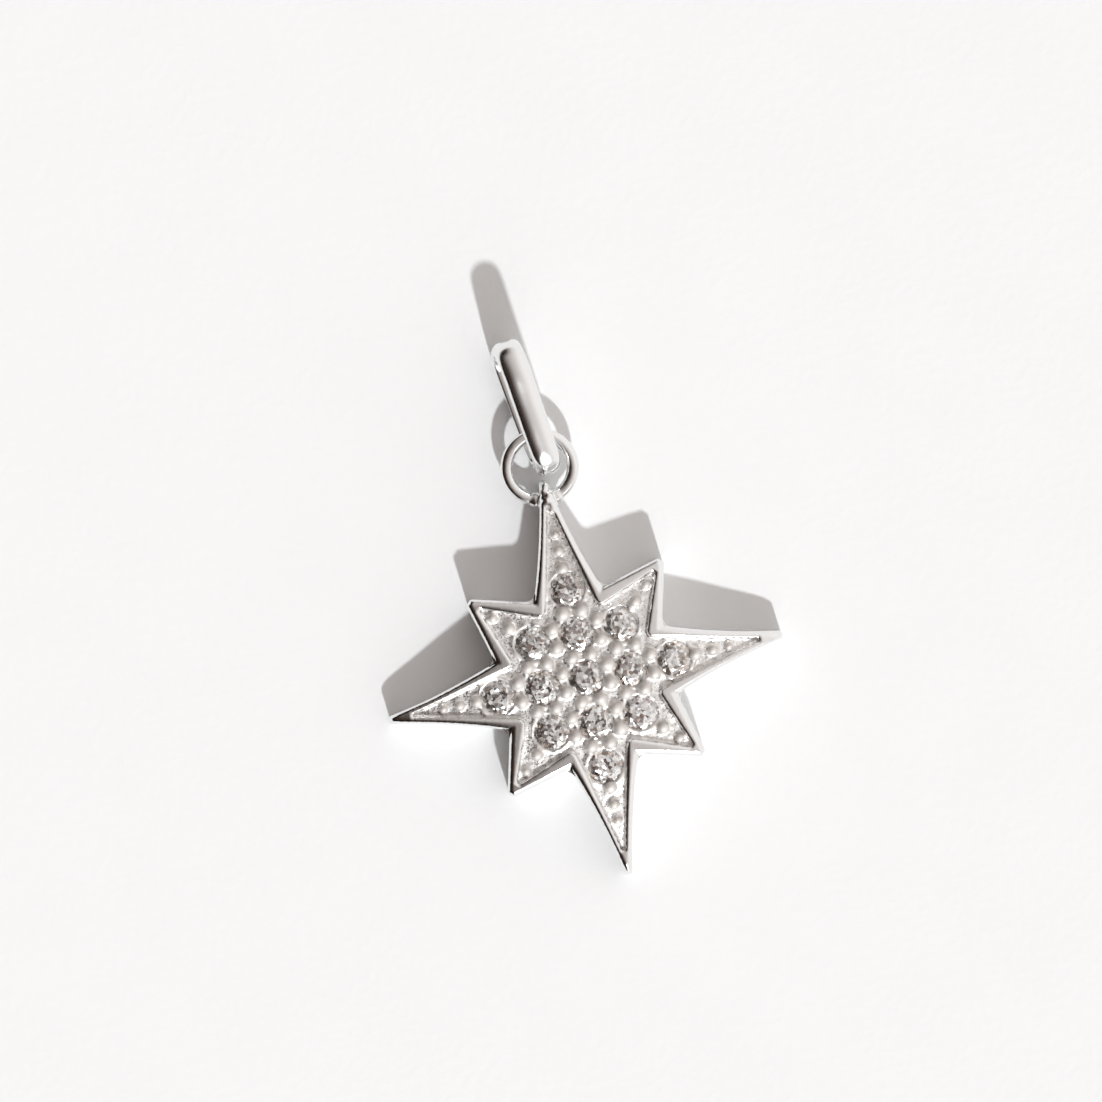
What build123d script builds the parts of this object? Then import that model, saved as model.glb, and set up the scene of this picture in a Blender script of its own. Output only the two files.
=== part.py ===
from build123d import *
import math
import os

os.makedirs("parts", exist_ok=True)

# A star pendant that lies face up, with a soldered ring and a loose teardrop bail through it.
# The origin is the star's centre on its flat back. The north ray and the bail point along +Y,
# and the stones face +Z. Sizes are millimetres and degrees.

# Star outline
long_ray_reach = 8.0
short_ray_reach = 5.52
ray_tip_width = 0.3
notch_reach = 3.64
notch_angle = 22.2
long_side_hollow = 0.11
ray_tip_round = 0.14
notch_round = 0.4

# Heights above the back, over a dome
centre_height = 2.37
long_tip_height = 1.23
rim_edge_round = 0.12
prow_start = 7.5
prow_drop = 0.36

# Sunk field inside the rim
field_long_reach = 7.0
field_short_reach = 4.96
field_tip_width = 0.13
field_notch_reach = 2.86
field_tip_round = 0.055
field_notch_round = 0.3
field_side_hollow = 0.02
field_depth = 0.27

# Round brilliants
stone_diameter = 1.5
stone_pitch = 1.78
girdle_height = 0.045
crown_angle = 34.5
pavilion_angle = 40.8
table_diameter = 0.86
star_facet_share = 0.5
lower_facet_share = 0.77
stone_turn_step = 17.0

# Drilled seats
girdle_sink = 0.03
seat_gap = 0.03

# Beads that hold the stones
shared_bead_diameter = 0.52
shared_bead_spread = 0.38
bead_lift = 0.05

# Beads that fill the rays: shares of the way from the last seat to the field's tip, and of a
# shared bead's diameter
long_ray_beads = ((0.0263, 0.96), (0.2895, 0.8), (0.5395, 0.65))
short_ray_beads = ((0.1826, 0.92), (0.651, 0.73))

# Soldered ring at the north ray
ring_outer_diameter = 3.14
ring_wire = 0.5
ring_overlap = 1.04
ring_height = 1.0
ring_tilt = 12.0
solder_diameter = 0.66
solder_spread = 0.4

# Bail, a tapered loop of rounded band that stands on its edge through the ring
bail_length = 5.6
bail_height = 3.51
bail_end_radius = 1.3
bail_nose_height = 2.6
bail_band = 0.5
bail_outer_round = 0.36
bail_inner_round = 0.06
bail_width = 1.14
bail_nose_width = 1.04
bail_taper_length = 2.6
bail_taper_round = 6.0
bail_yaw = 7.9
bail_roll = 4.0
bail_offset = 0.27
bail_tip_gap = 0.14
bail_floor_gap = 0.005

# The dome is part of a sphere that passes through the centre height and the long tips' height
dome_drop = centre_height - long_tip_height
dome_radius = (long_ray_reach**2 + dome_drop**2) / (2 * dome_drop)
dome_centre = Vector(0, 0, centre_height - dome_radius)
floor_radius = dome_radius - field_depth
full_height = 1.5 * centre_height


def compass(reach, angle, across=0.0):
    """A point at a distance out along the direction east of north, and a distance to its right."""
    turn = math.radians(angle)
    return (
        reach * math.sin(turn) + across * math.cos(turn),
        reach * math.cos(turn) - across * math.sin(turn),
    )


def dome_height(reach):
    """Height of the dome above the back, at a distance from its axis."""
    return dome_centre.Z + math.sqrt(dome_radius**2 - reach**2)


def dome_plane(x, y, radius, turn=0.0):
    """The plane square to such a sphere over a point, with its first axis turned from east."""
    normal = Vector(x, y, math.sqrt(radius**2 - x**2 - y**2))
    first_axis = (math.cos(math.radians(turn)), math.sin(math.radians(turn)), 0)
    return Plane(origin=dome_centre + normal, x_dir=first_axis, z_dir=normal)


def star_face(long_reach, short_reach, tip_width, notch, hollow, tip_round, corner_round):
    """The face inside a star with blunt rounded tips; hollow bends the long rays' sides inward."""
    half_tip = tip_width / 2
    with BuildSketch() as face:
        with BuildLine():
            for north in (0, 90, 180, 270):
                left_tip = compass(long_reach, north, -half_tip)
                right_tip = compass(long_reach, north, half_tip)
                near_notch = compass(notch, north + notch_angle)
                short_left = compass(short_reach, north + 45, -half_tip)
                short_right = compass(short_reach, north + 45, half_tip)
                far_notch = compass(notch, north + 90 - notch_angle)
                next_tip = compass(long_reach, north + 90, -half_tip)
                Line(left_tip, right_tip)
                SagittaArc(right_tip, near_notch, -hollow)
                Line(near_notch, short_left)
                Line(short_left, short_right)
                Line(short_right, far_notch)
                SagittaArc(far_notch, next_tip, -hollow)
        make_face()
        between = (notch + short_reach) / 2
        fillet(face.vertices().filter_by(lambda v: v.center().length < between), corner_round)
        fillet(face.vertices().filter_by(lambda v: v.center().length > short_reach - 0.001), tip_round)
    return face.sketch


# Where the stones sit: a three by three grid and one more along each long ray
stone_places = {
    "stone_centre": (0, 0),
    "stone_north_inner": (0, 1),
    "stone_north_outer": (0, 2),
    "stone_north_east": (1, 1),
    "stone_east_inner": (1, 0),
    "stone_east_outer": (2, 0),
    "stone_south_east": (1, -1),
    "stone_south_inner": (0, -1),
    "stone_south_outer": (0, -2),
    "stone_south_west": (-1, -1),
    "stone_west_inner": (-1, 0),
    "stone_west_outer": (-2, 0),
    "stone_north_west": (-1, 1),
}

# One round brilliant, with the top of its girdle at the origin
stone_radius = stone_diameter / 2
table_radius = table_diameter / 2
crown_rise = math.tan(math.radians(crown_angle))
pavilion_rise = math.tan(math.radians(pavilion_angle))
crown_height = crown_rise * (stone_radius - table_radius)
pavilion_depth = pavilion_rise * stone_radius
half_facet = math.radians(22.5)


def round_point(reach, step, height):
    """A point at a distance from the stone's axis, at a number of sixteenths of a turn."""
    turn = half_facet * step
    return Vector(reach * math.cos(turn), reach * math.sin(turn), height)


def facet_plane(first, second, third):
    """The plane through three points that faces away from the stone's middle."""
    normal = (second - first).cross(third - first)
    if normal.dot(first) < 0:
        normal = -normal
    return Plane(origin=first, z_dir=normal)


def facet_planes(side, level, rise, break_reach):
    """Planes of the eight main facets and the sixteen beside the girdle, above it or below it."""
    break_height = level + side * rise * (stone_radius - break_reach * math.cos(half_facet))
    planes = []
    for step in range(0, 16, 2):
        girdle_point = round_point(stone_radius, step, level)
        left_break = round_point(break_reach, step - 1, break_height)
        right_break = round_point(break_reach, step + 1, break_height)
        planes.append(facet_plane(girdle_point, left_break, right_break))
        planes.append(facet_plane(girdle_point, left_break, round_point(stone_radius, step - 1, level)))
        planes.append(facet_plane(girdle_point, right_break, round_point(stone_radius, step + 1, level)))
    return planes


table_edge_reach = table_radius * math.cos(half_facet)
crown_break = table_edge_reach + star_facet_share * (stone_radius - table_edge_reach)
crown_break_height = crown_rise * (stone_radius - crown_break * math.cos(half_facet))
pavilion_break = stone_radius * (1 - lower_facet_share)
star_facet_planes = [
    facet_plane(
        round_point(table_radius, step - 1, crown_height),
        round_point(table_radius, step + 1, crown_height),
        round_point(crown_break, step, crown_break_height),
    )
    for step in range(1, 16, 2)
]
brilliant_planes = (
    facet_planes(1, 0, crown_rise, crown_break)
    + star_facet_planes
    + facet_planes(-1, -girdle_height, pavilion_rise, pavilion_break)
)

with BuildPart() as brilliant:
    with BuildSketch(Plane.XY.offset(-girdle_height - pavilion_depth)):
        Circle(stone_radius)
    extrude(amount=pavilion_depth + girdle_height + crown_height)
    for plane in brilliant_planes:
        split(bisect_by=plane, keep=Keep.BOTTOM)

# The stones' planes follow the dome of the field's floor
stone_planes = {
    name: dome_plane(
        column * stone_pitch,
        row * stone_pitch,
        floor_radius - girdle_sink,
        number * stone_turn_step,
    )
    for number, (name, (column, row)) in enumerate(stone_places.items())
}

for name, plane in stone_planes.items():
    with BuildPart() as stone:
        with Locations(plane):
            add(brilliant.part)
    stone.part.label = name
    export_step(stone.part, f"parts/{name}.step")

# A drilled seat with clearance all round the stone, open above it
crown_shift = seat_gap / math.sin(math.radians(crown_angle))
pavilion_shift = seat_gap / math.sin(math.radians(pavilion_angle))
seat_radius = stone_radius + seat_gap
with BuildPart() as seat:
    with BuildSketch(Plane.XZ):
        with BuildLine():
            Polyline(
                (0, full_height),
                (table_radius + crown_shift, full_height),
                (table_radius + crown_shift, crown_height),
                (seat_radius, (crown_shift - seat_gap) * crown_rise),
                (seat_radius, -girdle_height - (pavilion_shift - seat_gap) * pavilion_rise),
                (0, -girdle_height - (stone_radius + pavilion_shift) * pavilion_rise),
                close=True,
            )
        make_face()
    revolve(axis=Axis.Z)

# Everything under the dome, with the bend that takes the long rays' tips down like a prow
prow_reach = long_ray_reach + ray_tip_width
prow_slope = prow_start / math.sqrt(dome_radius**2 - prow_start**2)
with BuildPart() as dome:
    with BuildSketch(Plane.XZ):
        with BuildLine():
            top = (0, centre_height)
            bend_start = (prow_start, dome_height(prow_start))
            bend_end = (prow_reach, dome_height(long_ray_reach) - prow_drop)
            ThreePointArc(top, (prow_start / 2, dome_height(prow_start / 2)), bend_start)
            TangentArc(bend_start, bend_end, tangent=(1, -prow_slope))
            Polyline(bend_end, (prow_reach, 0), (0, 0), top)
        make_face()
    revolve(axis=Axis.Z)

# Everything between the field's edge and above its floor
with BuildPart() as field:
    with BuildSketch():
        add(
            star_face(
                field_long_reach,
                field_short_reach,
                field_tip_width,
                field_notch_reach,
                field_side_hollow,
                field_tip_round,
                field_notch_round,
            )
        )
    extrude(amount=full_height)
    with Locations(dome_centre):
        Sphere(floor_radius, mode=Mode.SUBTRACT)

# Middles and diameters of all beads, seen from above
shared_beads = []
for column, row in stone_places.values():
    if (column + 1, row) in stone_places.values():
        middle = ((column + 0.5) * stone_pitch, row * stone_pitch)
        shared_beads += [(middle[0], middle[1] + side * shared_bead_spread) for side in (-1, 1)]
    if (column, row + 1) in stone_places.values():
        middle = (column * stone_pitch, (row + 0.5) * stone_pitch)
        shared_beads += [(middle[0] + side * shared_bead_spread, middle[1]) for side in (-1, 1)]
bead_places = {shared_bead_diameter: shared_beads}
ray_beads = (
    (0, 2 * stone_pitch + seat_radius, field_long_reach, long_ray_beads),
    (45, math.sqrt(2) * stone_pitch + seat_radius, field_short_reach, short_ray_beads),
)
for ray, last_seat_reach, field_reach, beads in ray_beads:
    for way_share, size_share in beads:
        reach = last_seat_reach + way_share * (field_reach - last_seat_reach)
        bead_places[size_share * shared_bead_diameter] = [
            compass(reach, north + ray) for north in (0, 90, 180, 270)
        ]
bead_planes = {
    diameter: [dome_plane(x, y, floor_radius + bead_lift) for x, y in places]
    for diameter, places in bead_places.items()
}

# The ring leans up to the north, and its lower wire is sunk in the north ray
ring_radius = (ring_outer_diameter - ring_wire) / 2
ring_centre = Vector(0, long_ray_reach + ring_outer_diameter / 2 - ring_overlap, ring_height)
ring_lean = math.radians(ring_tilt)
ring_plane = Plane(
    origin=ring_centre,
    x_dir=(1, 0, 0),
    z_dir=(0, -math.sin(ring_lean), math.cos(ring_lean)),
)
solder_reach = math.sqrt(ring_radius**2 - solder_spread**2)
solder_places = [
    ring_plane.from_local_coords((side * solder_spread, -solder_reach, 0)) for side in (-1, 1)
]

with BuildPart() as star_setting:
    with BuildSketch():
        add(
            star_face(
                long_ray_reach,
                short_ray_reach,
                ray_tip_width,
                notch_reach,
                long_side_hollow,
                ray_tip_round,
                notch_round,
            )
        )
    extrude(amount=full_height)
    add(dome.part, mode=Mode.INTERSECT)
    walls = star_setting.faces().filter_by(lambda f: abs(f.normal_at().Z) < 0.001)
    wall_edges = walls.edges().filter_by(Axis.Z, reverse=True)
    rim_edges = wall_edges.filter_by(lambda e: e.center().Z > prow_drop)
    fillet(rim_edges, rim_edge_round)
    with Locations(ring_plane):
        Torus(ring_radius, ring_wire / 2)
    with Locations(*solder_places):
        Sphere(solder_diameter / 2, rotation=(0, 90, 0))
    add(field.part, mode=Mode.SUBTRACT)
    for diameter, planes in bead_planes.items():
        with Locations(*planes):
            Sphere(diameter / 2)
    with Locations(*stone_planes.values()):
        add(seat.part, mode=Mode.SUBTRACT)
star_setting.part.label = "star_setting"
export_step(star_setting.part, "parts/star_setting.step")

# The bail's own plane is upright: its first axis runs from the nose to the round end
yaw = math.radians(bail_yaw)
roll = math.radians(bail_roll)
bail_along = Vector(-math.sin(yaw), math.cos(yaw), 0)
bail_across = Vector(math.cos(yaw), math.sin(yaw), 0)
bail_up = bail_across * math.sin(roll) + Vector(0, 0, math.cos(roll))
bail_flat = bail_width / 2 - bail_outer_round
bail_plane = Plane(
    origin=(bail_offset, long_ray_reach + bail_tip_gap, bail_floor_gap + bail_flat * math.sin(roll)),
    x_dir=bail_along,
    z_dir=bail_along.cross(bail_up),
)
bail_middle = (bail_length / 2, bail_height / 2)
bail_end = bail_length - bail_end_radius
bail_end_corners = ((bail_end, bail_end_radius), (bail_end, bail_height - bail_end_radius))
bail_nose = (bail_nose_height / 2, bail_nose_height / 2)


def teardrop(inset):
    """The side outline of the bail's loop, drawn in by a distance."""
    with BuildSketch() as outline:
        with Locations(*bail_end_corners):
            Circle(bail_end_radius - inset)
        with Locations(bail_nose):
            Circle(bail_nose_height / 2 - inset)
        make_hull()
    return outline.sketch


def band_edges(part, side):
    """The edges along the outside (side 1) or the inside (side -1) of the bail's band."""
    across = bail_plane.z_dir
    middle = bail_plane.from_local_coords((*bail_middle, 0))
    band = part.faces().filter_by(lambda f: abs(f.normal_at().dot(across)) < 0.01)
    one_side = band.filter_by(lambda f: side * f.normal_at().dot(f.center() - middle) > 0)
    return one_side.edges().filter_by(Axis((0, 0, 0), across), reverse=True)


with BuildPart() as bail:
    with BuildSketch(bail_plane):
        add(teardrop(0))
        add(teardrop(bail_band), mode=Mode.SUBTRACT)
    extrude(amount=bail_width / 2, both=True)
    with BuildSketch(Plane(origin=bail_plane.origin, x_dir=bail_along, z_dir=bail_up)) as plan:
        with BuildLine():
            Polyline(
                (-bail_band, 0),
                (-bail_band, bail_nose_width / 2),
                (0, bail_nose_width / 2),
                (bail_taper_length, bail_width / 2),
                (bail_length + bail_band, bail_width / 2),
                (bail_length + bail_band, 0),
                close=True,
            )
        make_face()
        shoulder = plan.vertices().sort_by_distance((bail_taper_length, bail_width / 2))[0]
        fillet(shoulder, bail_taper_round)
        mirror(about=Plane.XZ)
    extrude(amount=bail_height, both=True, mode=Mode.INTERSECT)
    fillet(band_edges(bail, 1), bail_outer_round)
    fillet(band_edges(bail, -1), bail_inner_round)
bail.part.label = "bail"
export_step(bail.part, "parts/bail.step")
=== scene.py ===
import math

import bmesh
import bpy
import numpy as np
from bpy.props import FloatProperty, FloatVectorProperty, IntProperty, PointerProperty
from bpy.types import Operator, Panel, PropertyGroup
from mathutils import Matrix, Vector, noise


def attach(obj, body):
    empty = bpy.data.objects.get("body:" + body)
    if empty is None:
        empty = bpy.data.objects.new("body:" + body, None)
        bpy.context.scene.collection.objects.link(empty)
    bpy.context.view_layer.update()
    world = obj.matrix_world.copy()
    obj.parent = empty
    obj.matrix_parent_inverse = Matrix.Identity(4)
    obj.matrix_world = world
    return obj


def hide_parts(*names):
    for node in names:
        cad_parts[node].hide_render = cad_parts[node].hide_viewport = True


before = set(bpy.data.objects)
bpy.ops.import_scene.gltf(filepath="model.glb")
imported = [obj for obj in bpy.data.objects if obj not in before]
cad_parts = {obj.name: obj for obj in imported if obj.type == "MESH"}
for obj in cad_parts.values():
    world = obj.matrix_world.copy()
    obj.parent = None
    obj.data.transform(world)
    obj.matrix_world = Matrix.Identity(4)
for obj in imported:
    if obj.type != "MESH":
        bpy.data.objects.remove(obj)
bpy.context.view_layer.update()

bl_info = {
    "name": "Star Pendant",
    "version": (1, 0, 0),
    "blender": (4, 5, 0),
    "location": "View3D > Sidebar > Pendant",
    "description": "Dresses a cast silver star with clear stones, a ring and a teardrop bail",
    "category": "Object",
}

MM = 0.001
STONES = sorted(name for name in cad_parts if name.startswith("stone_"))

# Values kept with each vertex of the cast pieces: grainy floor, satin beads, and hollow corners,
# which get painted shade and tarnish
MASKS = ("grainy", "satin", "hollow")

# Crumbs of solder on the north ray: east of the ray's middle, north of the star's centre and
# radius in millimetres
SOLDER_CRUMBS = (
    (0.05, 7.78, 0.13),
    (-0.04, 7.56, 0.14),
    (0.1, 7.36, 0.15),
    (0.0, 7.14, 0.14),
    (0.13, 6.95, 0.13),
    (0.08, 6.72, 0.1),
)

# Meshes: millimetres within which vertices merge, and how lumps are made and edges smoothed
WELD_DISTANCE = 0.0005
LUMP_SUBDIVISIONS = 3
SMOOTH_FACTOR = 0.5

# How much a lip swells, as a share of its size, and how far out its noise is read, in lip reaches
LIP_UNEVEN = 0.7
LIP_NOISE_REACH = 4

# The beads' unevenness: noise for each millimetre, and a layer of it for east, north and radius
BEAD_NOISE = 2.7
BEAD_NOISE_LAYERS = (0.3, 4.3, 8.3)

# The rim's bevel: its shape, and how many millimetres past the rim's borders a vertex still
# belongs to the rim, with more of them at the notches, which end at RIM_NOTCH_END
BEVEL_POWER = 1.5
INNER_BEVEL_SHARE = 0.6
RIM_FIELD_SLACK = 0.02
RIM_TIP_SLACK = 0.06
RIM_NOTCH_SLACK = 0.3
RIM_NOTCH_END = 5
RIM_TOP_SLACK = 0.03
CRUMB_SLACK = 0.03

# The star's masks, in millimetres: blends at the field's border and at the beads' feet, depth at
# which the grain fades in the seats, height that stays flat over the back, and a full hollow
FIELD_BLEND = 0.05
BEAD_FOOT = 0.03
BEAD_BLEND = 0.06
SEAT_FADE = 0.4
FLAT_BACK = 0.3
FULL_HOLLOW = 0.055

# The field's grain: where its two layers of noise are read, and its shares
GRAIN_SHIFT = 7.0
FINE_GRAIN_SHIFT = 3.0
FINE_GRAIN_SHARE = 0.5
BEAD_GRAIN_SHARE = 0.15

# The bail: points on each arc, roundness of the band's two sides, and its finish
ARC_POINTS = 60
OUTSIDE_ROUND = 2.05
INSIDE_ROUND = 4.5
BAIL_NOISE_SHIFT = 5.0
BAIL_WAVE_SHARE = 0.8
BAIL_POLISH_FACTOR = 1.8

# Sizes of the noise and heights of the bumps in the finishes, in millimetres
SILVER_CLOUD = 0.9
SILVER_GRIT = 0.07
SILVER_FINE_GRIT = 0.03
SILVER_STREAK = 0.05
SILVER_BUMP = 0.006
STONE_CLOUD = 0.7
STONE_MARKS = 0.12
PAPER_TOOTH = 0.35
PAPER_CLOUD = 4
PAPER_BUMP = 0.012

# Strengths in the finishes
STREAK_STRETCH = (1.0, 0.16, 1.0)
TARNISH_ROUGHNESS = 0.25
SCRATCH_SHARE = 0.18
GRIT_SHARE = 1.3
FINE_GRIT_SHARE = 0.6
STONE_CLOUD_SHARE = 1.4
PAPER_CLOUD_SHARE = 0.5
PAPER_CLOUD_SHADE = 0.985
PAPER_ROUGHNESS = 0.85

# Ramps of the finishes: input from and to, then output from and to where it isn't 0 and 1
# The first three ramps make the painted shade and tarnish in the hollows: darker metal where the
# surface is sunk, in patches set by the cloud and the grit
HOLLOW_TO_TARNISH_AND_SHADE = (0.35, 1.0)
CLOUD_TO_TARNISH_AND_SHADE = (0.3, 0.7, 0.6, 1.0)
GRIT_TO_TARNISH_AND_SHADE = (0.35, 0.6, 0.5, 1.0)
GRIT_TO_DULL = (0.35, 0.62, 1.0, 0.35)
CLOUD_TO_POLISH = (0.35, 0.7, 0.0, 0.05)
GRIT_TO_MATT = (0.38, 0.62, 0.35, 1.3)
# Painted reflection in the stones: how a cell's shade turns into its colour
SHADE_TO_PAINTED_REFLECTION = (0.05, 0.55)
NOISE_TO_MARKS = (0.45, 0.75, 0.0, 0.035)
FLASH_TO_SHARE = (0.1, 0.6, 0.35, 0.9)
CLOUD_TO_PAPER = (0.35, 0.65)

# Ramps of the room's light, from how far a direction reaches to the bright side, up or to the sun
SIDE_TO_EVEN = (-0.72, 0.2)
SIDE_TO_BRIGHT = (0.0, 0.8)
RISE_TO_DARK = (0.6, 0.25)
SIDE_TO_DARK = (0.35, -0.15)
SUN_TO_GLOW = (0.85, 0.93)


def length(name, description, millimetres, lowest=0):
    """A size in metres, given in millimetres."""
    return FloatProperty(
        name=name,
        description=description,
        default=millimetres * MM,
        min=lowest * MM,
        unit="LENGTH",
    )


def angle(name, description, degrees):
    """An angle in radians, given in degrees."""
    return FloatProperty(
        name=name, description=description, default=math.radians(degrees), unit="ROTATION"
    )


def factor(name, description, value, top=1.0):
    """A plain number."""
    return FloatProperty(name=name, description=description, default=value, min=0, max=top)


def count(name, description, value):
    """A whole number."""
    return IntProperty(name=name, description=description, default=value, min=0)


def colour(name, description, value):
    """A linear colour."""
    return FloatVectorProperty(
        name=name, description=description, default=value, min=0, max=4, size=3, subtype="COLOR"
    )


class CastSettings(PropertyGroup):
    """How a cast piece's surface differs from its exact solid."""

    fineness: length("Fineness", "Size of the mesh's faces", 0.066)
    wear: count("Wear", "How often the edges are smoothed", 2)
    wave_height: length("Wave height", "Height of the polished faces' slow waves", 0.012)
    wave_size: length("Wave size", "Width of the polished faces' slow waves", 1.3)


class StarSettings(PropertyGroup):
    """Sizes of the star, its rim, sunk field, beads and solder."""

    centre_height: length("Centre height", "Height of the dome over the star's centre", 2.37)
    tip_height: length("Tip height", "Height of the dome over the long tips", 1.23)
    prow_start: length("Prow start", "Centre to where the tips bend down", 7.5)
    prow_drop: length("Prow drop", "How far the bend lowers a long tip", 0.105)
    long_reach: length("Long ray", "Centre to the tip of a long ray", 8.0)
    short_reach: length("Short ray", "Centre to the tip of a short ray", 5.52)
    tip_width: length("Tip width", "Width of the blunt tips", 0.3)
    notch_reach: length("Notch", "Centre to a notch", 3.64)
    notch_angle: angle("Notch angle", "Angle of a notch from the long ray beside it", 22.2)
    side_hollow: length("Side hollow", "How far the long rays' sides bend inward", 0.11)
    field_long: length("Field, long", "Centre to the field's tip in a long ray", 7.0)
    field_short: length("Field, short", "Centre to the field's tip in a short ray", 4.96)
    field_tip: length("Field tip", "Width of the field's tips", 0.13)
    field_notch: length("Field notch", "Centre to the field's notch", 2.86)
    field_depth: length("Field depth", "Depth of the field's floor under the dome", 0.27)
    rim_crown: length("Rim crown", "How far the rim's outer edge drops below its middle", 0.16)
    outer_bevel: length("Outer bevel", "Width of the bevel along the star's outline", 0.2)
    inner_bevel: length("Inner bevel", "Width of the bevel along the field's outline", 0.1)
    grain_height: length("Grain height", "Height of the grain in the field", 0.03)
    grain_size: length("Grain size", "Width of the grain in the field", 0.2)
    bead: length("Bead", "Radius of the beads between the stones", 0.27)
    bead_uneven: length("Bead unevenness", "How far the beads stray in place and size", 0.09)
    bead_spread: length("Bead spread", "Bead to the line between two stones", 0.38)
    crumb_sink: length("Crumb sink", "Middle of a crumb of solder below the dome", 0.07)


class BailSettings(PropertyGroup):
    """Sizes and lie of the bail."""

    length: length("Length", "Nose to round end", 5.6)
    height: length("Height", "Height of the round end", 3.51)
    end_radius: length("End radius", "Radius of the round end's corners", 1.3)
    nose_radius: length("Nose radius", "Radius of the nose", 1.3)
    band: length("Band", "Thickness of the band", 0.5)
    crown: length("Crown", "How far the band's outside swells", 0.36)
    width: length("Width", "Width of the band", 1.14)
    nose_width: length("Nose width", "Width of the band at the nose", 1.04)
    taper: length("Taper", "Length over which the band widens", 2.6)
    yaw: angle("Yaw", "Turn of the bail from the north ray", 7.9)
    roll: angle("Roll", "Lean of the bail to the east", 4.0)
    offset: length("Offset", "Nose to the north ray's middle line", 0.27)
    tip_gap: length("Tip gap", "Nose to the north ray's tip", 0.14)
    floor_gap: length("Floor gap", "Lowest edge to the floor", 0.005)


class StoneSettings(PropertyGroup):
    """The stones' places and finish."""

    pitch: length("Pitch", "Distance between neighbouring stones", 1.78)
    sink: length("Sink", "Girdle below the dome", 0.3)
    lip_reach: length("Lip reach", "Stone's axis to the middle of the lip around it", 0.765)
    lip_size: length("Lip size", "Radius of the lip", 0.1)
    tint: colour("Tint", "Colour of the stones", (0.985, 0.985, 0.98))
    # The depth colour is a painted reflection: the darkest cells of the flashes stand for dark
    # surroundings seen in the facets
    depth: colour("Depth", "Colour of the darkest flashes", (0.67, 0.57, 0.51))
    bend: factor("Bend", "How strongly the stones bend light", 2.15, 3.0)
    flash_size: length("Flash size", "Width of the flashes inside the stones", 0.125)
    flash_lean: factor("Flash lean", "How far the flashes turn from the facets", 0.62, 3.0)
    flash_polish: factor("Flash polish", "Roughness of the flashes", 0.27)


class Finish(PropertyGroup):
    """Colours and roughness of the metal."""

    silver: colour("Silver", "Colour of the polished metal", (0.89, 0.892, 0.888))
    cast: colour("Cast", "Colour of the duller metal between the stones", (0.77, 0.74, 0.715))
    # Partly tarnish and partly painted shade: this colour darkens the metal in its hollows, where
    # shade falls
    tarnish: colour("Tarnish", "Colour of the metal in its corners", (0.16, 0.125, 0.11))
    polish: factor("Polish", "Roughness of the polished metal", 0.075)
    satin: factor("Satin", "Roughness of the beads", 0.76)
    matt: factor("Matt", "Roughness of the cast metal in the field", 0.66)


class StageSettings(PropertyGroup):
    """Paper, light and camera."""

    paper: colour("Paper", "Colour of the floor", (0.90, 0.90, 0.90))
    paper_side: length("Paper side", "Side of the floor", 900)
    sun: colour("Sun", "Colour of the sun", (0.955, 0.98, 1.0))
    sun_strength: factor("Sun strength", "Strength of the sun", 2.55, 20)
    sun_size: angle("Sun size", "Width of the sun in the sky", 2.6)
    sun_height: angle("Sun height", "Height of the sun above the floor", 40)
    sun_turn: angle("Sun turn", "Turn of the sun from south to east", 4.5)
    bright: colour("Bright", "Light from the bright side of the room", (0.97, 0.945, 0.93))
    even: colour("Even", "Light from overhead", (0.6, 0.555, 0.535))
    dim: colour("Dim", "Light from the dark side of the room", (0.045, 0.028, 0.022))
    dark: colour("Dark", "Light from low down on the dark side", (0.012, 0.008, 0.006))
    room_turn: angle("Room turn", "Turn of the room's bright side from east to north", 9)
    glow: colour("Glow", "Light from the sky around the sun", (1.25, 1.24, 1.23))
    glow_height: angle("Glow height", "Height of the glow's middle above the floor", 20)
    room_strength: factor("Room strength", "Strength of the room's light", 1.0, 20)
    backdrop: colour("Backdrop", "Colour seen past the floor's edge", (0.9, 0.895, 0.89))
    view_width: length("View width", "Width of the view at the rim's height", 43.56)
    view_east: length("View east", "Centre of the view, east of the star's centre", -0.275, -50)
    view_north: length("View north", "Centre of the view, north of the star's centre", 5.19, -50)
    view_level: length("View level", "Height that the view's width is given for", 1.6)
    view_turn: angle("View turn", "How far the north ray leans to the left", 12.4)
    lens: factor("Lens", "Focal length in millimetres", 120, 500)
    sensor: factor("Sensor", "Width of the sensor in millimetres", 36, 100)


class PendantSettings(PropertyGroup):
    """All groups of settings."""

    cast: PointerProperty(
        type=CastSettings, name="Casting", description="Surface of the cast pieces"
    )
    star: PointerProperty(type=StarSettings, name="Star", description="Rim, field and solder")
    bail: PointerProperty(type=BailSettings, name="Bail", description="Sizes and lie of the bail")
    stone: PointerProperty(type=StoneSettings, name="Stones", description="Places and finish")
    finish: PointerProperty(type=Finish, name="Finish", description="Look of the metal")
    stage: PointerProperty(type=StageSettings, name="Stage", description="Paper, light and camera")


def settings():
    """The scene's settings."""
    return bpy.context.scene.pendant


# Meshes


def new_object(name, data):
    """A new object in the scene."""
    thing = bpy.data.objects.new(name, data)
    bpy.context.scene.collection.objects.link(thing)
    return thing


def mesh_from(shape, name):
    """A mesh from a shape under construction, which is dropped."""
    mesh = bpy.data.meshes.new(name)
    shape.to_mesh(mesh)
    shape.free()
    return mesh


def with_modifiers(thing):
    """The object's mesh after its modifiers, which are dropped."""
    bpy.context.view_layer.update()
    shaped = thing.evaluated_get(bpy.context.evaluated_depsgraph_get())
    mesh = bpy.data.meshes.new_from_object(shaped)
    thing.modifiers.clear()
    return mesh


def vertex_array(mesh, source="co"):
    """Places or normals of a mesh's vertices."""
    values = np.zeros(len(mesh.vertices) * 3)
    mesh.vertices.foreach_get(source, values)
    return values.reshape(-1, 3)


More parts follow.
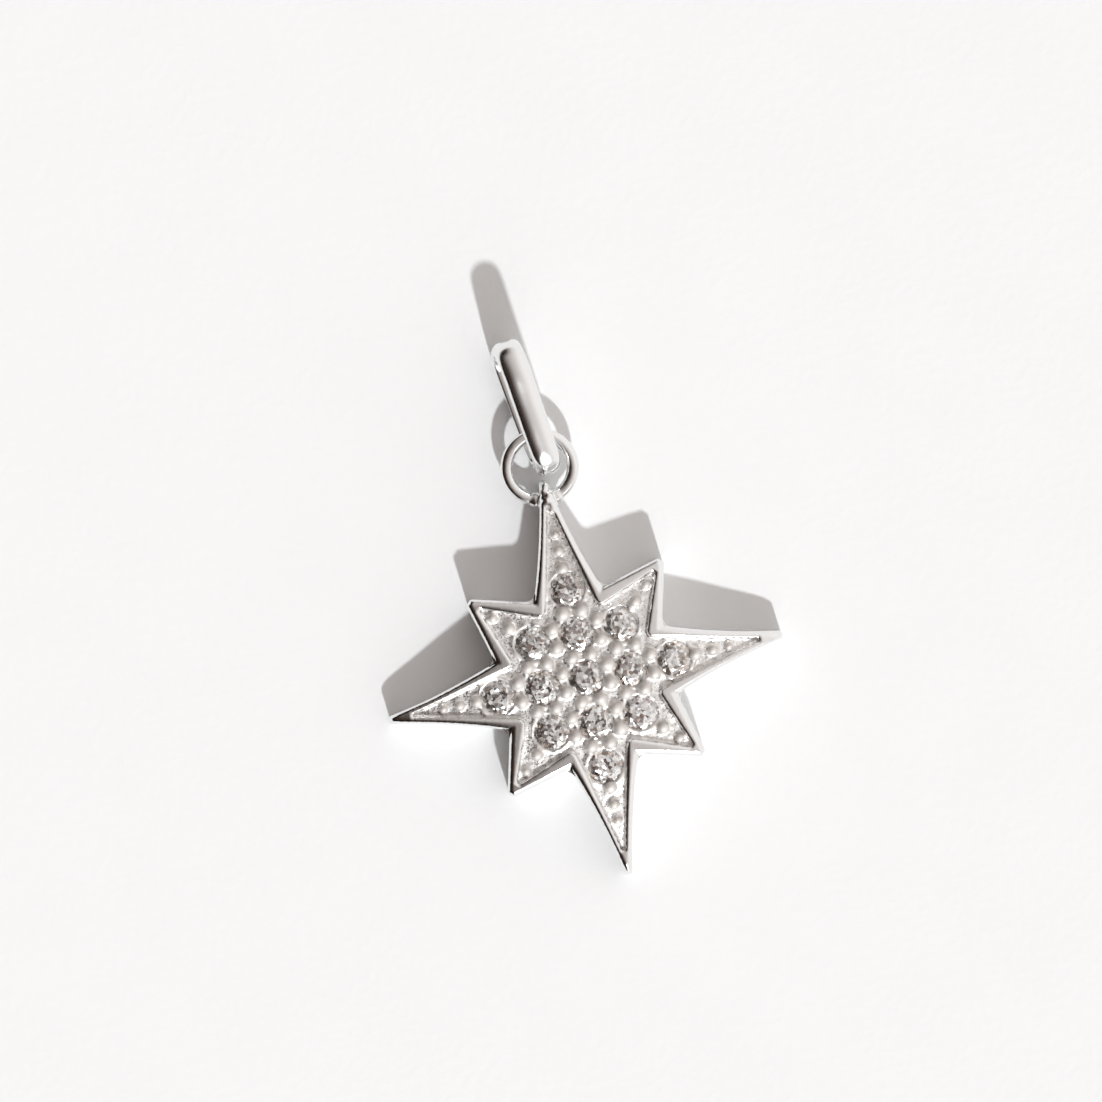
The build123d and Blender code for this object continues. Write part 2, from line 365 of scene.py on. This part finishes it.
def move_vertices(mesh, places):
    """Puts the vertices at new places."""
    mesh.vertices.foreach_set("co", places.ravel())
    mesh.update()


def store(mesh, name, values):
    """Keeps one value for each vertex, for the materials."""
    layer = mesh.attributes.new(name, "FLOAT", "POINT")
    layer.data.foreach_set("value", values.astype(np.float32))


def noise_at(places, size, shift=0.0):
    """Smooth noise from -1 to 1 at each place, with features of such a size."""
    return np.array([noise.noise(Vector(place / size + shift)) for place in places])


def add_lip(shape, place, reach, size, around=40, sides=8):
    """A ring of metal around a stone, given by its place matrix, in millimetres."""
    rows = []
    for step in range(around):
        turn = 2 * math.pi * step / around
        out = Vector((math.cos(turn), math.sin(turn), 0))
        swell = 1 + LIP_UNEVEN * noise.noise(place @ (LIP_NOISE_REACH * reach * out))
        tube = swell * size
        rows.append([
            shape.verts.new(place @ (
                out * (reach + tube * math.cos(2 * math.pi * side / sides))
                + Vector((0, 0, tube * math.sin(2 * math.pi * side / sides)))
            ))
            for side in range(sides)
        ])
    close_tube(shape, rows)


def close_tube(shape, rows):
    """Faces between rows of vertices that close on themselves both ways."""
    for first, second in zip(rows, rows[1:] + rows[:1]):
        for side in range(len(first)):
            after = (side + 1) % len(first)
            shape.faces.new((first[side], second[side], second[after], first[after]))


def solid_in_millimetres(node, extra=(), lips=()):
    """A closed copy of a CAD node with lumps, as (place, radius), and lips, in millimetres."""
    shape = bmesh.new()
    shape.from_mesh(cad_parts[node].data)
    bmesh.ops.transform(shape, matrix=Matrix.Scale(1 / MM, 4), verts=shape.verts)
    bmesh.ops.remove_doubles(shape, verts=shape.verts, dist=WELD_DISTANCE)
    for place, radius in extra:
        bmesh.ops.create_icosphere(
            shape,
            subdivisions=LUMP_SUBDIVISIONS,
            radius=radius,
            matrix=Matrix.Translation(place),
        )
    for lip in lips:
        add_lip(shape, *lip)
    return mesh_from(shape, node)


def even_mesh(name, node, fineness, wear, extra=(), lips=()):
    """The node's shape as one even mesh with softened edges, in millimetres."""
    exact = new_object("exact", solid_in_millimetres(node, extra, lips))
    even = new_object("even", exact.data.copy())
    even.modifiers.new("even", "REMESH").voxel_size = fineness
    even.data = with_modifiers(even)
    snap = even.modifiers.new("snap", "SHRINKWRAP")
    snap.target = exact
    snap.wrap_method = "NEAREST_SURFACEPOINT"
    if wear:
        soften = even.modifiers.new("soften", "SMOOTH")
        soften.factor = SMOOTH_FACTOR
        soften.iterations = wear
    mesh = with_modifiers(even)
    mesh.name = name
    bpy.data.objects.remove(exact)
    bpy.data.objects.remove(even)
    return mesh


def relief(mesh, passes=10):
    """How far each vertex lies in a hollow, or below 0 on a ridge, in the mesh's units."""
    probe = new_object("probe", mesh.copy())
    level = probe.modifiers.new("level", "SMOOTH")
    level.factor = SMOOTH_FACTOR
    level.iterations = passes
    smooth = with_modifiers(probe)
    bpy.data.objects.remove(probe)
    return ((vertex_array(smooth) - vertex_array(mesh)) * vertex_array(mesh, "normal")).sum(1)


def finished_piece(name, mesh, material):
    """An object in metres from a mesh in millimetres, smooth shaded, with one material."""
    mesh.transform(Matrix.Scale(MM, 4))
    mesh.polygons.foreach_set("use_smooth", [True] * len(mesh.polygons))
    mesh.materials.clear()
    mesh.materials.append(material)
    return new_object(name, mesh)


# Shader nodes


class Nodes:
    """Adds and links nodes of one tree."""

    def __init__(self, tree):
        self.tree = tree
        tree.nodes.clear()

    def add(self, kind, options=None, **inputs):
        """A node with its options and inputs set; an input that is a socket is linked.

        Inputs go by name, with _ for a blank, or by number, such as _0.
        """
        node = self.tree.nodes.new(kind)
        for name, value in (options or {}).items():
            setattr(node, name, value)
        for name, value in inputs.items():
            numbered = name[0] == "_" and name[1:].isdigit()
            socket = node.inputs[int(name[1:]) if numbered else name.replace("_", " ")]
            if isinstance(value, bpy.types.NodeSocket):
                self.tree.links.new(value, socket)
            else:
                socket.default_value = value
        return node

    def math(self, operation, first, second=0.0, clamp=False):
        """The result of a sum on two values."""
        return self.add(
            "ShaderNodeMath", {"operation": operation, "use_clamp": clamp}, _0=first, _1=second
        ).outputs[0]

    def times(self, first, second):
        """The product of two values, kept between 0 and 1."""
        return self.math("MULTIPLY", first, second, clamp=True)

    def vector(self, operation, first, second=(0, 0, 0)):
        """The vector result of a sum on two vectors."""
        return self.add(
            "ShaderNodeVectorMath", {"operation": operation}, _0=first, _1=second
        ).outputs[0]

    def along(self, first, direction):
        """How far a vector reaches along a direction."""
        return self.add(
            "ShaderNodeVectorMath", {"operation": "DOT_PRODUCT"}, _0=first, _1=direction
        ).outputs["Value"]

    def between(self, value, low, high, start=0.0, end=1.0):
        """A value eased from start to end while the input goes from low to high."""
        return self.add(
            "ShaderNodeMapRange",
            {"interpolation_type": "SMOOTHSTEP"},
            Value=value, From_Min=low, From_Max=high, To_Min=start, To_Max=end,
        ).outputs[0]

    def mix(self, share, first, second):
        """A colour between two colours."""
        return self.add(
            "ShaderNodeMix", {"data_type": "RGBA"}, _0=share, _6=first, _7=second
        ).outputs[2]

    def blend(self, share, first, second):
        """A value between two values."""
        return self.add(
            "ShaderNodeMix", {"data_type": "FLOAT"}, _0=share, _2=first, _3=second
        ).outputs[0]

    def noise(self, place, size, detail=2.0, roughness=0.5):
        """Noise with features of a size in metres."""
        return self.add(
            "ShaderNodeTexNoise",
            None,
            Vector=place, Scale=1 / size, Detail=detail, Roughness=roughness,
        ).outputs["Fac"]


def opaque(value):
    """A colour with its alpha."""
    return (*value, 1.0)


def new_material(name):
    """A material without nodes yet, and the means to add them."""
    material = bpy.data.materials.new(name)
    material.use_nodes = True
    return material, Nodes(material.node_tree)


def cast_silver_group():
    """Colour, roughness and height of cast silver, from the stored masks, with painted shade and
    tarnish darkening the hollows; it is built once.
    """
    tree = bpy.data.node_groups.get("cast silver")
    if tree:
        return tree
    tree = bpy.data.node_groups.new("cast silver", "ShaderNodeTree")
    face = tree.interface
    for name, kind in (
        ("Silver", "NodeSocketColor"),
        ("Cast", "NodeSocketColor"),
        # The third colour is the painted shade and tarnish of the hollows
        ("Tarnish", "NodeSocketColor"),
        ("Polish", "NodeSocketFloat"),
        ("Satin", "NodeSocketFloat"),
        ("Matt", "NodeSocketFloat"),
    ):
        face.new_socket(name, in_out="INPUT", socket_type=kind)
    for name, kind in (
        ("Color", "NodeSocketColor"),
        ("Roughness", "NodeSocketFloat"),
        ("Height", "NodeSocketFloat"),
    ):
        face.new_socket(name, in_out="OUTPUT", socket_type=kind)
    nodes = Nodes(tree)
    given = nodes.add("NodeGroupInput").outputs
    place = nodes.add("ShaderNodeTexCoord").outputs["Object"]
    grainy, satin, hollow = (
        nodes.add("ShaderNodeAttribute", {"attribute_name": mask}).outputs["Fac"]
        for mask in MASKS
    )
    cloud = nodes.noise(place, SILVER_CLOUD * MM, detail=3)
    grit = nodes.noise(place, SILVER_GRIT * MM, detail=3, roughness=0.6)
    fine = nodes.noise(place, SILVER_FINE_GRIT * MM)
    streaks = nodes.noise(nodes.vector("MULTIPLY", place, STREAK_STRETCH), SILVER_STREAK * MM)
    # Painted shade and tarnish: the hollow mask, broken up by the cloud and the grit, pulls the
    # colour towards the tarnish colour where the surface is sunk
    tarnish_and_shade_share = nodes.times(
        nodes.between(hollow, *HOLLOW_TO_TARNISH_AND_SHADE), nodes.between(cloud, *CLOUD_TO_TARNISH_AND_SHADE)
    )
    tarnish_and_shade_share = nodes.times(tarnish_and_shade_share, nodes.between(grit, *GRIT_TO_TARNISH_AND_SHADE))
    dull_floor = nodes.math("MULTIPLY", grainy, nodes.between(grit, *GRIT_TO_DULL))
    dull = nodes.math("ADD", satin, dull_floor, clamp=True)
    tint = nodes.mix(tarnish_and_shade_share, nodes.mix(dull, given["Silver"], given["Cast"]), given["Tarnish"])
    polished = nodes.math("ADD", given["Polish"], nodes.between(cloud, *CLOUD_TO_POLISH))
    matt = nodes.times(given["Matt"], nodes.between(grit, *GRIT_TO_MATT))
    rough = nodes.blend(grainy, nodes.blend(satin, polished, given["Satin"]), matt)
    rough = nodes.math("ADD", rough, nodes.math("MULTIPLY", tarnish_and_shade_share, TARNISH_ROUGHNESS))
    scratch = nodes.math("MULTIPLY", streaks, SCRATCH_SHARE)
    coarse = nodes.math("MULTIPLY", grit, GRIT_SHARE)
    grains = nodes.math("ADD", coarse, nodes.math("MULTIPLY", fine, FINE_GRIT_SHARE))
    height = nodes.blend(grainy, scratch, grains)
    nodes.add("NodeGroupOutput", None, Color=tint, Roughness=rough, Height=height)
    return tree


def silver_material(name, polish):
    """Cast silver with its own polish."""
    finish = settings().finish
    material, nodes = new_material(name)
    surface = nodes.add(
        "ShaderNodeGroup",
        {"node_tree": cast_silver_group()},
        Silver=opaque(finish.silver),
        Cast=opaque(finish.cast),
        Tarnish=opaque(finish.tarnish),
        Polish=polish,
        Satin=finish.satin,
        Matt=finish.matt,
    )
    bump = nodes.add(
        "ShaderNodeBump",
        None,
        Height=surface.outputs["Height"], Strength=1.0, Distance=SILVER_BUMP * MM,
    )
    shader = nodes.add(
        "ShaderNodeBsdfPrincipled",
        None,
        Base_Color=surface.outputs["Color"],
        Metallic=1.0,
        Roughness=surface.outputs["Roughness"],
        Normal=bump.outputs[0],
    )
    nodes.add("ShaderNodeOutputMaterial", None, Surface=shader.outputs[0])
    return material


def stone_material():
    """Clear cut stone: what it lets through, and the mottled flashes from the facets inside it,
    coloured with a painted reflection that runs from the tint to a dark brown depth colour.
    """
    stone = settings().stone
    material, nodes = new_material("clear stone")
    place = nodes.add("ShaderNodeTexCoord").outputs["Object"]
    facet = nodes.add("ShaderNodeNewGeometry").outputs["Normal"]
    flash = nodes.add(
        "ShaderNodeTexVoronoi",
        {"feature": "F1"},
        Vector=place, Scale=1 / stone.flash_size, Randomness=1.0,
    ).outputs["Color"]
    parts = nodes.add("ShaderNodeSeparateColor", None, Color=flash).outputs
    # Painted reflection: each cell and a slow cloud set how dark its flash is, from the tint down
    # to the depth colour, standing in for dark surroundings
    cloud = nodes.noise(place, STONE_CLOUD * MM, detail=3)
    cloud = nodes.math("MULTIPLY", cloud, STONE_CLOUD_SHARE)
    painted_reflection_shade = nodes.math("ADD", parts[0], nodes.math("SUBTRACT", cloud, STONE_CLOUD_SHARE / 2))
    share = nodes.between(painted_reflection_shade, *SHADE_TO_PAINTED_REFLECTION)
    tint = nodes.mix(share, opaque(stone.depth), opaque(stone.tint))
    lean = nodes.vector("SUBTRACT", flash, (0.5, 0.5, 0.5))
    lean = nodes.vector("MULTIPLY", lean, (stone.flash_lean,) * 3)
    turned = nodes.vector("NORMALIZE", nodes.vector("ADD", facet, lean))
    marks = nodes.between(nodes.noise(place, STONE_MARKS * MM, detail=3), *NOISE_TO_MARKS)
    clear = nodes.add(
        "ShaderNodeBsdfPrincipled",
        None,
        Base_Color=opaque(stone.tint),
        Roughness=marks,
        IOR=stone.bend,
        Transmission_Weight=1.0,
    )
    flashes = nodes.add(
        "ShaderNodeBsdfPrincipled",
        None,
        Base_Color=tint,
        Metallic=1.0,
        Roughness=stone.flash_polish,
        Normal=turned,
    )
    share = nodes.between(parts[1], *FLASH_TO_SHARE)
    both = nodes.add(
        "ShaderNodeMixShader", None, _0=share, _1=clear.outputs[0], _2=flashes.outputs[0]
    )
    nodes.add("ShaderNodeOutputMaterial", None, Surface=both.outputs[0])
    return material


def paper_material():
    """Smooth white paper with a faint tooth."""
    stage = settings().stage
    material, nodes = new_material("paper")
    place = nodes.add("ShaderNodeTexCoord").outputs["Object"]
    tooth = nodes.noise(place, PAPER_TOOTH * MM, detail=4)
    cloud = nodes.noise(place, PAPER_CLOUD * MM, detail=3)
    share = nodes.math("MULTIPLY", nodes.between(cloud, *CLOUD_TO_PAPER), PAPER_CLOUD_SHARE)
    shaded = opaque([PAPER_CLOUD_SHADE * part for part in stage.paper])
    tint = nodes.mix(share, opaque(stage.paper), shaded)
    bump = nodes.add("ShaderNodeBump", None, Height=tooth, Strength=1.0, Distance=PAPER_BUMP * MM)
    shader = nodes.add(
        "ShaderNodeBsdfPrincipled",
        None,
        Base_Color=tint,
        Roughness=PAPER_ROUGHNESS,
        Normal=bump.outputs[0],
    )
    nodes.add("ShaderNodeOutputMaterial", None, Surface=shader.outputs[0])
    return material


# Star


def margin(places, long_tip, short_tip, tip_width, notch_reach, notch_angle, hollow=0.0):
    """How far inside a star's outline each place lies; all lengths are in millimetres."""
    eighth = math.pi / 4
    turn = np.mod(np.arctan2(places[:, 0], places[:, 1]), 2 * eighth)
    turn = np.minimum(turn, 2 * eighth - turn)
    reach = np.hypot(places[:, 0], places[:, 1])
    spot = np.stack((reach * np.cos(turn), reach * np.sin(turn)), 1)
    notch = notch_reach * np.array((math.cos(notch_angle), math.sin(notch_angle)))
    long_corner = np.array((long_tip, tip_width / 2))
    slope = math.sqrt(0.5)
    short_corner = slope * np.array((short_tip + tip_width / 2, short_tip - tip_width / 2))

    def inside(first, second, bend):
        step = (second - first) / np.hypot(*(second - first))
        along = np.clip((spot - first) @ step / np.hypot(*(second - first)), 0, 1)
        left = (spot - first) @ np.array((-step[1], step[0]))
        return left - 4 * bend * along * (1 - along)

    long_side = np.minimum(inside(long_corner, notch, hollow), long_tip - spot[:, 0])
    short_side = np.minimum(inside(notch, short_corner, 0), short_tip - slope * spot.sum(1))
    return np.where(turn < notch_angle, long_side, short_side)


def outer_margin(places, star):
    """How far inside the star's outline each place lies, in millimetres."""
    return margin(
        places, star.long_reach / MM, star.short_reach / MM, star.tip_width / MM,
        star.notch_reach / MM, star.notch_angle, star.side_hollow / MM,
    )


def field_margin(places, star):
    """How far inside the sunk field's outline each place lies, in millimetres."""
    return margin(
        places, star.field_long / MM, star.field_short / MM, star.field_tip / MM,
        star.field_notch / MM, star.notch_angle,
    )


def crowned(places, star):
    """The places again, with the rim bevelled along the star's and the field's outlines."""
    radius, middle = dome(star)
    reach = np.hypot(places[:, 0], places[:, 1])
    prow = (star.long_reach - star.prow_start) / MM
    bend = np.clip(reach - star.prow_start / MM, 0, None) / prow
    top = middle[2] + np.sqrt(radius**2 - reach**2) - bend**2 * star.prow_drop / MM
    outer = outer_margin(places, star)
    inner = -field_margin(places, star)
    drop = np.zeros(len(places))
    bevels = ((outer, star.outer_bevel, 1.0), (inner, star.inner_bevel, INNER_BEVEL_SHARE))
    for edge, bevel, share in bevels:
        drop += share * np.clip(1 - np.clip(edge, 0, None) / (bevel / MM), 0, 1) ** BEVEL_POWER
    slack = np.where(reach < RIM_NOTCH_END, RIM_NOTCH_SLACK, RIM_TIP_SLACK)
    on_rim = (inner > -RIM_FIELD_SLACK) & (outer > -slack)
    on_rim &= places[:, 2] < top + RIM_TOP_SLACK
    for crumb, size in solder_crumbs(star):
        on_rim &= np.hypot(*(places[:, :2] - crumb[:2]).T) > size + CRUMB_SLACK
    rounded = places.copy()
    limit = top - drop * star.rim_crown / MM
    rounded[:, 2] = np.where(on_rim, np.minimum(places[:, 2], limit), places[:, 2])
    return rounded


def dome(star):
    """Radius and middle of the dome that the star's top is part of, in millimetres."""
    drop = (star.centre_height - star.tip_height) / MM
    radius = ((star.long_reach / MM) ** 2 + drop**2) / (2 * drop)
    return radius, np.array((0, 0, star.centre_height / MM - radius))


def over_dome(star, x, y, sink):
    """Matrix of a spot under the dome's surface, square to it, in millimetres."""
    radius, middle = dome(star)
    normal = Vector((x, y, math.sqrt((radius - sink) ** 2 - x**2 - y**2)))
    square = normal.to_track_quat("Z", "Y").to_matrix().to_4x4()
    return Matrix.Translation(Vector(middle) + normal) @ square


def stone_spots():
    """Columns and rows of the stones: a three by three grid and one more along each long ray."""
    grid = [(column, row) for column in (-1, 0, 1) for row in (-1, 0, 1)]
    return grid + [(-2, 0), (2, 0), (0, -2), (0, 2)]


def stone_lips(star, stone):
    """Place, reach and size of the lip around each stone, in millimetres."""
    pitch = stone.pitch / MM
    sink = stone.sink / MM
    size = (stone.lip_reach / MM, stone.lip_size / MM)
    return [
        (over_dome(star, column * pitch, row * pitch, sink), *size)
        for column, row in stone_spots()
    ]


def shared_beads(star, stone):
    """Full beads between neighbouring stones, as (place, radius), in millimetres."""
    spots = stone_spots()
    pitch = stone.pitch / MM
    spread = star.bead_spread / MM
    beads = []
    for column, row in spots:
        for side in (-spread, spread):
            if (column + 1, row) in spots:
                beads.append(((column + 0.5) * pitch, row * pitch + side))
            if (column, row + 1) in spots:
                beads.append((column * pitch + side, (row + 0.5) * pitch))
    uneven = star.bead_uneven / MM
    sink = star.field_depth / MM
    full = []
    for x, y in beads:
        east, north, swell = [
            uneven * noise.noise(Vector((BEAD_NOISE * x, BEAD_NOISE * y, layer)))
            for layer in BEAD_NOISE_LAYERS
        ]
        place = over_dome(star, x + east, y + north, sink).translation
        full.append((place, star.bead / MM + swell))
    return full


def solder_crumbs(star):
    """Crumbs of solder on the north ray's tip, as (place, radius), in millimetres."""
    return [
        (over_dome(star, east, north, star.crumb_sink / MM).translation, radius)
        for east, north, radius in SOLDER_CRUMBS
    ]


class PENDANT_OT_star(Operator):
    """Builds the cast star with its beads, seats, solder and ring"""

    bl_idname = "pendant.star"
    bl_label = "Star"

    def execute(self, context):
        cast = settings().cast
        star = settings().star
        mesh = even_mesh(
            "star_body", "star_setting", cast.fineness / MM, cast.wear,
            solder_crumbs(star) + shared_beads(star, settings().stone),
            stone_lips(star, settings().stone),
        )
        move_vertices(mesh, crowned(vertex_array(mesh), star))
        places = vertex_array(mesh)
        normals = vertex_array(mesh, "normal")
        dome_radius, dome_middle = dome(star)
        depth = dome_radius - np.linalg.norm(places - dome_middle, axis=1)
        inside = np.clip(field_margin(places, star) / FIELD_BLEND + 0.5, 0, 1)
        raised = np.clip((star.field_depth / MM - BEAD_FOOT - depth) / BEAD_BLEND, 0, 1)
        beads = inside * raised
        floor = inside * (1 - raised) * np.clip(2 - depth / SEAT_FADE, 0, 1)
        above_back = np.clip((places[:, 2] - FLAT_BACK) / FLAT_BACK, 0, 1)
        waves = noise_at(places, cast.wave_size / MM) * cast.wave_height / MM
        size = star.grain_size / MM
        grain = noise_at(places, size, GRAIN_SHIFT)
        grain += FINE_GRAIN_SHARE * noise_at(places, size / 2, FINE_GRAIN_SHIFT)
        grainy = BEAD_GRAIN_SHARE * beads + floor
        lift = above_back * (waves + grainy * grain * star.grain_height / MM)
        move_vertices(mesh, places + normals * lift[:, None])
        # How sunk each vertex is, for the painted shade and tarnish in the hollows
        hollow = np.clip(relief(mesh) / FULL_HOLLOW, 0, 1)
        for mask, values in zip(MASKS, (floor, beads, hollow)):
            store(mesh, mask, values)
        material = silver_material("star silver", settings().finish.polish)
        body = finished_piece("star_body", mesh, material)
        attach(body, "root")
        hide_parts("star_setting")
        return {"FINISHED"}


# Bail


def loop_outline(bail):
    """Points and outward directions along the middle of the bail's band, seen from its side."""
    nose = np.array((bail.nose_radius, bail.nose_radius))
    low = np.array((bail.length - bail.end_radius, bail.end_radius))
    high = np.array((bail.length - bail.end_radius, bail.height - bail.end_radius))
    rise = high - nose
    swell = (bail.end_radius - bail.nose_radius) / np.hypot(*rise)
    tangent = math.atan2(rise[1], rise[0]) + math.acos(swell)
    quarter = math.pi / 2
    arcs = (
        (nose, bail.nose_radius, tangent, 3 * quarter),
        (low, bail.end_radius, -quarter, 0.0),
        (high, bail.end_radius, 0.0, tangent),
    )
    points = []
    outs = []
    for middle, radius, start, end in arcs:
        for turn in np.linspace(start, end, ARC_POINTS):
            out = np.array((math.cos(turn), math.sin(turn)))
            points.append(middle + (radius - bail.band / 2) * out)
            outs.append(out)
    points.append(points[0])
    outs.append(outs[0])
    return np.array(points), np.array(outs)


def even_steps(points, outs, step):
    """The outline's points and directions again, at even steps."""
    runs = np.concatenate(((0,), np.cumsum(np.hypot(*np.diff(points, axis=0).T))))
    number = round(runs[-1] / step)
    at = np.arange(number) * runs[-1] / number
    even_points, even_outs = (
        np.stack([np.interp(at, runs, values[:, axis]) for axis in (0, 1)], 1)
        for values in (points, outs)
    )
    return even_points, even_outs / np.linalg.norm(even_outs, axis=1)[:, None]


def band_section(bail, sides=40):
    """The band's section: shares of the half width, and heights above the band's middle."""
    level = bail.band / 2 - bail.crown
    section = []
    for side in range(sides):
        turn = 2 * math.pi * side / sides
        outside = math.sin(turn) > 0
        power = 2 / (OUTSIDE_ROUND if outside else INSIDE_ROUND)
        depth = bail.crown if outside else bail.band - bail.crown
        across = math.copysign(abs(math.cos(turn)) ** power, math.cos(turn))
        rise = math.copysign(abs(math.sin(turn)) ** power, math.sin(turn))
        section.append((across, level + depth * rise))
    return section


class PENDANT_OT_bail(Operator):
    """Builds the polished bail, a loop of crowned band"""

    bl_idname = "pendant.bail"
    bl_label = "Bail"

    def execute(self, context):
        bail = settings().bail
        cast = settings().cast
        along = Vector((-math.sin(bail.yaw), math.cos(bail.yaw), 0))
        east = Vector((math.cos(bail.yaw), math.sin(bail.yaw), 0))
        up = east * math.sin(bail.roll) + Vector((0, 0, math.cos(bail.roll)))
        across = along.cross(up)
        flat = bail.width / 2 - bail.crown
        start = Vector((
            bail.offset,
            settings().star.long_reach + bail.tip_gap,
            bail.floor_gap + flat * math.sin(bail.roll),
        ))
        points, outs = even_steps(*loop_outline(bail), cast.fineness)
        section = band_section(bail)
        shape = bmesh.new()
        rows = []
        for point, out in zip(points, outs):
            ease = min(max(point[0] / bail.taper, 0), 1)
            half = (bail.nose_width + (bail.width - bail.nose_width) * ease * (2 - ease)) / 2
            row = []
            for aside, height in section:
                side_view = point + height * out
                place = start + along * side_view[0] + up * side_view[1] + across * (aside * half)
                row.append(shape.verts.new(place / MM))
            rows.append(row)
        close_tube(shape, rows)
        bmesh.ops.recalc_face_normals(shape, faces=shape.faces)
        mesh = mesh_from(shape, "bail_loop")
        places = vertex_array(mesh)
        waves = noise_at(places, cast.wave_size / MM, BAIL_NOISE_SHIFT)
        waves = waves * BAIL_WAVE_SHARE * cast.wave_height / MM
        move_vertices(mesh, places + vertex_array(mesh, "normal") * waves[:, None])
        for mask in MASKS:
            store(mesh, mask, np.zeros(len(places)))
        polish = BAIL_POLISH_FACTOR * settings().finish.polish
        material = silver_material("bail silver", polish)
        loop = finished_piece("bail_loop", mesh, material)
        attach(loop, "root")
        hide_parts("bail")
        return {"FINISHED"}


# Stones and stage


class PENDANT_OT_stones(Operator):
    """Gives the cut stones their clear finish"""

    bl_idname = "pendant.stones"
    bl_label = "Stones"

    def execute(self, context):
        material = stone_material()
        for name in STONES:
            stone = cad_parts[name]
            stone.material_slots[0].material = material
        return {"FINISHED"}


class PENDANT_OT_stage(Operator):
    """Lays the paper and sets the light and the camera"""

    bl_idname = "pendant.stage"
    bl_label = "Stage"

    def execute(self, context):
        scene = context.scene
        stage = settings().stage
        self.lay_paper(stage)
        self.add_sun(stage)
        self.light_room(scene, stage)
        self.set_camera(scene, stage)
        scene.view_settings.view_transform = "Standard"
        return {"FINISHED"}

    def lay_paper(self, stage):
        """A sheet under the pendant."""
        shape = bmesh.new()
        bmesh.ops.create_grid(shape, x_segments=1, y_segments=1, size=stage.paper_side / 2)
        mesh = mesh_from(shape, "paper")
        mesh.materials.append(paper_material())
        new_object("paper", mesh)

    def add_sun(self, stage):
        """Low sun from the south."""
        sun = bpy.data.lights.new("sun", "SUN")
        sun.energy = stage.sun_strength
        sun.color = stage.sun
        sun.angle = stage.sun_size
        lamp = new_object("sun", sun)
        lamp.rotation_euler = self.south(stage, stage.sun_height).to_track_quat("Z", "Y").to_euler()

    def south(self, stage, height):
        """Direction of the sun or of what is right under it, at a height above the floor."""
        return Vector((
            math.sin(stage.sun_turn) * math.cos(height),
            -math.cos(stage.sun_turn) * math.cos(height),
            math.sin(height),
        ))

    def light_room(self, scene, stage):
        """A room that is bright on one side and under the sun, and dark on the other side."""
        world = bpy.data.worlds.new("room")
        scene.world = world
        world.use_nodes = True
        nodes = Nodes(world.node_tree)
        way = nodes.add("ShaderNodeTexCoord").outputs["Generated"]
        side = nodes.along(way, (math.cos(stage.room_turn), math.sin(stage.room_turn), 0))
        rise = nodes.along(way, (0, 0, 1))
        dim = nodes.between(side, *SIDE_TO_EVEN)
        room = nodes.mix(dim, opaque(stage.dim), opaque(stage.even))
        room = nodes.mix(nodes.between(side, *SIDE_TO_BRIGHT), room, opaque(stage.bright))
        low = nodes.between(rise, *RISE_TO_DARK)
        low = nodes.math("MULTIPLY", low, nodes.between(side, *SIDE_TO_DARK))
        room = nodes.mix(low, room, opaque(stage.dark))
        under_sun = nodes.along(way, tuple(self.south(stage, stage.glow_height)))
        room = nodes.mix(nodes.between(under_sun, *SUN_TO_GLOW), room, opaque(stage.glow))
        lit = nodes.add("ShaderNodeBackground", None, Color=room, Strength=stage.room_strength)
        seen = nodes.add("ShaderNodeBackground", None, Color=opaque(stage.backdrop), Strength=1.0)
        camera_ray = nodes.add("ShaderNodeLightPath").outputs["Is Camera Ray"]
        both = nodes.add(
            "ShaderNodeMixShader", None, _0=camera_ray, _1=lit.outputs[0], _2=seen.outputs[0]
        )
        nodes.add("ShaderNodeOutputWorld", None, Surface=both.outputs[0])

    def set_camera(self, scene, stage):
        """Straight above, turned so that the north ray leans to the left."""
        data = bpy.data.cameras.new("camera")
        data.lens = stage.lens
        data.sensor_width = stage.sensor
        data.clip_start = MM
        camera = new_object("camera", data)
        above = stage.view_width * stage.lens / stage.sensor
        camera.location = (stage.view_east, stage.view_north, stage.view_level + above)
        camera.rotation_euler = (0, 0, -stage.view_turn)
        scene.camera = camera


class PENDANT_PT_panel(Panel):
    """Lists the pendant's settings and steps"""

    bl_idname = "PENDANT_PT_panel"
    bl_label = "Star Pendant"
    bl_space_type = "VIEW_3D"
    bl_region_type = "UI"
    bl_category = "Pendant"

    def draw(self, context):
        for step in STEPS:
            self.layout.operator(step.bl_idname)
        own = {"rna_type", "name"}
        for part in settings().bl_rna.properties.keys():
            if part not in own:
                box = self.layout.box()
                group = getattr(settings(), part)
                for name in group.bl_rna.properties.keys():
                    if name not in own:
                        box.prop(group, name)


GROUPS = (
    CastSettings,
    StarSettings,
    BailSettings,
    StoneSettings,
    Finish,
    StageSettings,
    PendantSettings,
)
STEPS = (PENDANT_OT_star, PENDANT_OT_bail, PENDANT_OT_stones, PENDANT_OT_stage)


def register():
    """Registers the classes and the scene's settings."""
    for cls in (*GROUPS, *STEPS, PENDANT_PT_panel):
        bpy.utils.register_class(cls)
    bpy.types.Scene.pendant = PointerProperty(
        type=PendantSettings, name="Pendant", description="Settings of the star pendant"
    )


def unregister():
    """Takes the classes and the settings away again."""
    del bpy.types.Scene.pendant
    for cls in reversed((*GROUPS, *STEPS, PENDANT_PT_panel)):
        bpy.utils.unregister_class(cls)


def main():
    """Builds the pendant's looks around the frame."""
    register()
    bpy.ops.pendant.star()
    bpy.ops.pendant.bail()
    bpy.ops.pendant.stones()
    bpy.ops.pendant.stage()


if __name__ == "__main__":
    main()
